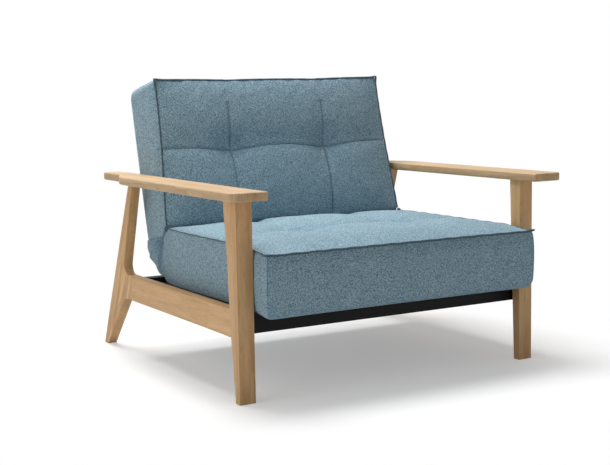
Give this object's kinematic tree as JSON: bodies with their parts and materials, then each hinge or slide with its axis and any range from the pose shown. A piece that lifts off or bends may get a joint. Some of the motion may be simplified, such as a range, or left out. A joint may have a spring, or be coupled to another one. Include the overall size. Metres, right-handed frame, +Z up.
{
  "type": "chair bed",
  "caption": "Armchair that unfolds to a bed: oak arm frames with splayed rear legs, a black steel base and a tufted blue-grey mattress that folds at a ratchet hinge.",
  "frame": {"origin": "on the floor, under the middle of the object's width and depth", "axes": "+X across the object to the right-hand side seen from the front, +Y from the front to the back, +Z up"},
  "size_m": [1.108, 1.0736, 0.8759],
  "materials": {
    "oak": "clear matt oil",
    "beech": "plain",
    "black_steel": "satin powder coat",
    "grey_steel": "satin",
    "hinge_steel": "zinc plated",
    "zinc_screws": "zinc plated",
    "brass_insert": "plain",
    "glide_plastic": "matt",
    "slat_birch": "plain",
    "spring_felt": "felt over pocket springs",
    "foam": "open foam",
    "blue_weave": "coarse two-tone weave",
    "dust_cloth": "thin non-woven"
  },
  "bodies": {
    "base": {"left_armrest": "oak", "right_armrest": "oak", "left_front_post": "oak", "right_front_post": "oak", "left_rear_leg": "oak", "right_rear_leg": "oak", "left_side_rail": "oak", "right_side_rail": "oak", "frame_dowels": "beech", "foot_glides": "glide_plastic", "front_beam": "black_steel", "rear_beam": "black_steel", "left_side_member": "black_steel", "right_side_member": "black_steel", "frame_bolts": "zinc_screws", "thread_inserts": "brass_insert", "seat_bolts": "zinc_screws", "seat_spacers": "hinge_steel", "seat_frame": "grey_steel", "seat_slats": "slat_birch", "seat_spring_core": "spring_felt", "seat_foam": "foam", "seat_cover": "blue_weave", "seat_dust_cloth": "dust_cloth", "seat_hinge_plates": "hinge_steel", "seat_hinge_screws": "zinc_screws", "pivot_pins": "hinge_steel", "pawl_pins": "hinge_steel", "pawl_springs": "hinge_steel", "fold_gusset": "blue_weave"},
    "back": {"ratchet_plates": "hinge_steel", "back_hinge_screws": "zinc_screws", "back_frame": "grey_steel", "back_slats": "slat_birch", "back_spring_core": "spring_felt", "back_foam": "foam", "back_cover": "blue_weave"},
    "left_pawl": {"left_pawl": "hinge_steel"},
    "right_pawl": {"right_pawl": "hinge_steel"}
  },
  "joints": [
    {"name": "back_fold", "type": "hinge", "parent": "base", "child": "back", "pos_m": [0, 0.17969, 0.386], "axis": [-1, 0, 0], "range_deg": [-10, 77], "deforming": ["fold_gusset"]},
    {"name": "left_pawl_turn", "type": "hinge", "parent": "base", "child": "left_pawl", "pos_m": [0, 0.13303, 0.36541], "axis": [1, 0, 0], "range_deg": [0, 15]},
    {"name": "right_pawl_turn", "type": "hinge", "parent": "base", "child": "right_pawl", "pos_m": [0, 0.13303, 0.36541], "axis": [1, 0, 0], "range_deg": [0, 15]}
  ],
  "couplings": [
    {"joint": "right_pawl_turn", "follows": "left_pawl_turn", "ratio": 1}
  ]
}
